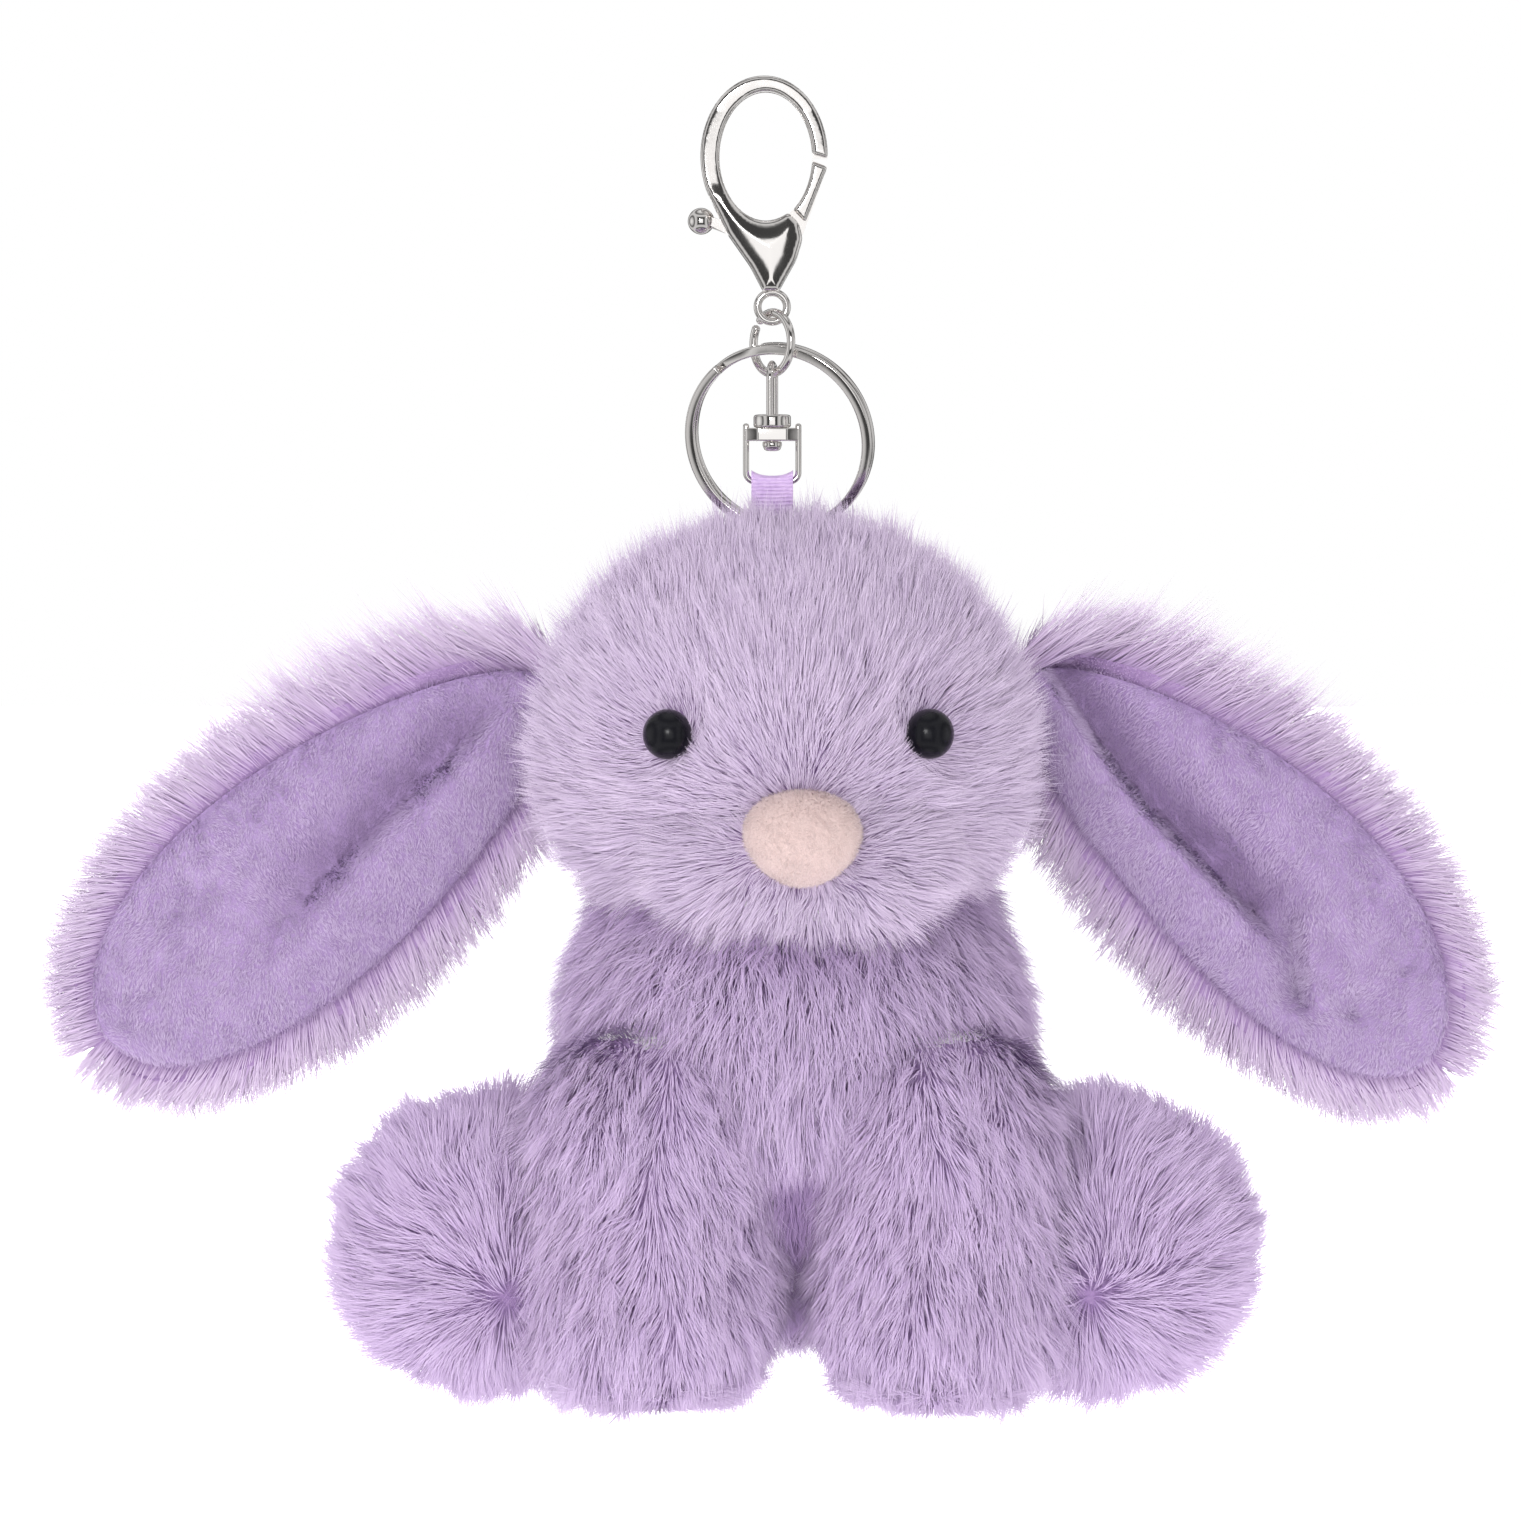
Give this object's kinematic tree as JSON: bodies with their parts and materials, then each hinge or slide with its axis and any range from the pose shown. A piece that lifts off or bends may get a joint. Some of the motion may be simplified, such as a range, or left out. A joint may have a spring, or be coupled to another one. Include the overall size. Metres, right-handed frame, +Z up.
{
  "type": "plush keychain",
  "caption": "Lop-eared plush bunny that hangs from a lobster clasp by a jump ring, a swivel and a ribbon loop, with a flat split ring for keys.",
  "frame": {"origin": "inner top of the clasp's hook, where the keychain hangs on a bag's ring", "axes": "+Z up along the chain, -Y the way the bunny faces, +X to the viewer's right"},
  "size_m": [0.2166, 0.0808, 0.2023],
  "materials": {
    "nickel": "polished",
    "spring_steel": "satin",
    "ribbon": "satin",
    "lavender_fur": "matte",
    "lavender_velour": "matte",
    "pink_velour": "matte",
    "fibre_fill": "matte",
    "black_plastic": "gloss",
    "washer_plastic": "matte"
  },
  "bodies": {
    "clasp": {"clasp_body": "nickel", "clasp_rivet": "nickel", "clasp_spring": "spring_steel"},
    "lever": {"clasp_lever": "nickel"},
    "jump_ring": {"jump_ring": "nickel"},
    "split_ring": {"split_ring": "nickel"},
    "swivel": {"swivel_eye": "nickel", "swivel_rivet": "nickel"},
    "yoke": {"swivel_yoke": "nickel"},
    "bunny": {"ribbon_loop": "ribbon", "head_cover": "lavender_fur", "head_stuffing": "fibre_fill", "muzzle_cover": "lavender_fur", "muzzle_stuffing": "fibre_fill", "nose_pad": "pink_velour", "eye_left": "black_plastic", "eye_right": "black_plastic", "eye_washer_left": "washer_plastic", "eye_washer_right": "washer_plastic", "body_cover": "lavender_fur", "body_stuffing": "fibre_fill", "front_leg_left_cover": "lavender_fur", "front_leg_left_stuffing": "fibre_fill", "front_leg_right_cover": "lavender_fur", "front_leg_right_stuffing": "fibre_fill", "hind_leg_left_cover": "lavender_fur", "hind_leg_left_stuffing": "fibre_fill", "hind_leg_right_cover": "lavender_fur", "hind_leg_right_stuffing": "fibre_fill", "tail_cover": "lavender_fur", "tail_stuffing": "fibre_fill"},
    "ear_left": {"ear_left_back": "lavender_fur", "ear_left_lining": "lavender_velour"},
    "ear_right": {"ear_right_back": "lavender_fur", "ear_right_lining": "lavender_velour"}
  },
  "joints": [
    {"name": "lever_press", "type": "hinge", "parent": "clasp", "child": "lever", "pos_m": [0, 0, -0.0234], "axis": [0, -1, 0], "range_deg": [0, 25], "stiffness_Nm_per_rad": 0.02, "springref_deg": -5.73},
    {"name": "jump_ring_swing", "type": "hinge", "parent": "clasp", "child": "jump_ring", "pos_m": [0, 0, -0.03515], "axis": [1, 0, 0], "range_deg": [-20, 20]},
    {"name": "split_ring_swing", "type": "hinge", "parent": "jump_ring", "child": "split_ring", "pos_m": [0, 0, -0.03922], "axis": [0.9511, -0.309, 0], "range_deg": [0, 20]},
    {"name": "swivel_swing", "type": "hinge", "parent": "jump_ring", "child": "swivel", "pos_m": [0, 0, -0.04306], "axis": [1, 0, 0], "range_deg": [-10, 0]},
    {"name": "swivel_spin", "type": "hinge", "parent": "swivel", "child": "yoke", "pos_m": [0, 0, -0.0524], "axis": [0, 0, 1], "continuous": true},
    {"name": "bunny_swing", "type": "hinge", "parent": "yoke", "child": "bunny", "pos_m": [0, 0, -0.0596], "axis": [1, 0, 0], "range_deg": [-20, 0]},
    {"name": "ear_left_flop", "type": "hinge", "parent": "bunny", "child": "ear_left", "pos_m": [-0.032, 0.007, -0.089], "axis": [0, 1, 0], "range_deg": [-5, 25], "stiffness_Nm_per_rad": 0.05},
    {"name": "ear_right_flop", "type": "hinge", "parent": "bunny", "child": "ear_right", "pos_m": [0.037, 0.007, -0.088], "axis": [0, -1, 0], "range_deg": [-5, 25], "stiffness_Nm_per_rad": 0.05}
  ]
}
